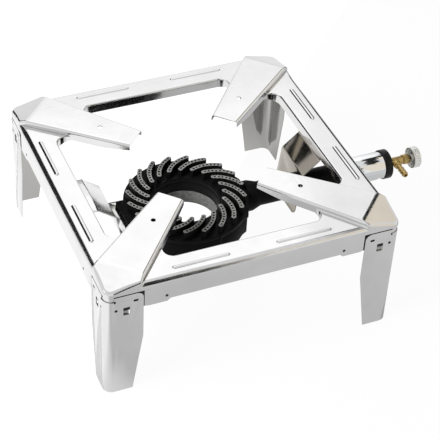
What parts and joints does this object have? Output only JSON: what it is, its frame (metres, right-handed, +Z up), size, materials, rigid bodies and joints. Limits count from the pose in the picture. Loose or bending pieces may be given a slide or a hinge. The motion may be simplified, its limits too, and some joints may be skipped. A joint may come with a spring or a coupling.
{
  "type": "gas burner stand",
  "caption": "Low square stainless stand on angle legs holding a cast iron ring burner with ported spiral vanes, a mixing tube, an air ring and a brass needle valve.",
  "frame": {"origin": "middle of the bounding box on the floor, under the right half of the stand", "axes": "+X from the stand out along the mixing tube to the valve knob, +Y to the rear, +Z up"},
  "size_m": [0.5422, 0.4, 0.182],
  "materials": {
    "stainless_sheet": "polished pressed sheet",
    "leg_sheet": "polished folded sheet",
    "bracket_steel": "bright folded strip",
    "cast_iron": "black stove paint on rough casting",
    "cast_iron_head": "dark casting with ground vane tops",
    "screw_steel": "zinc plated",
    "chromed_tube": "chrome plated tube",
    "black_ring": "satin black",
    "brass": "turned, bright",
    "packing": "soft black packing",
    "knob_metal": "plated, grooved rim"
  },
  "bodies": {
    "stand": {"stand_frame": "stainless_sheet", "leg_front_left": "leg_sheet", "leg_front_right": "leg_sheet", "leg_rear_right": "leg_sheet", "leg_rear_left": "leg_sheet", "lug_bracket": "bracket_steel", "tube_bracket": "bracket_steel", "burner_body": "cast_iron", "burner_head": "cast_iron_head", "head_screws": "screw_steel", "lug_screws": "screw_steel", "lug_washers": "screw_steel", "mixer_sleeve": "chromed_tube", "sleeve_screw": "screw_steel", "valve_body": "brass", "lock_nut": "brass", "gas_jet": "brass", "hose_barb": "brass", "gland_nut": "brass", "gland_packing": "packing"},
    "ring": {"air_ring": "black_ring"},
    "stem": {"valve_stem": "brass"},
    "knob": {"valve_knob": "knob_metal", "knob_screw": "screw_steel"}
  },
  "joints": [
    {"name": "ring_slide", "type": "slide", "parent": "stand", "child": "ring", "axis": [1, 0, 0], "range_m": [-0.0105, 0]},
    {"name": "stem_slide", "type": "slide", "parent": "stand", "child": "stem", "axis": [1, 0, 0], "range_m": [0, 0.0015]},
    {"name": "knob_turn", "type": "hinge", "parent": "stem", "child": "knob", "pos_m": [0.26385, 0, 0.0925], "axis": [1, 0, 0], "range_deg": [0, 540]}
  ],
  "couplings": [
    {"joint": "knob_turn", "follows": "stem_slide", "rad_per_m": 6283.1}
  ]
}
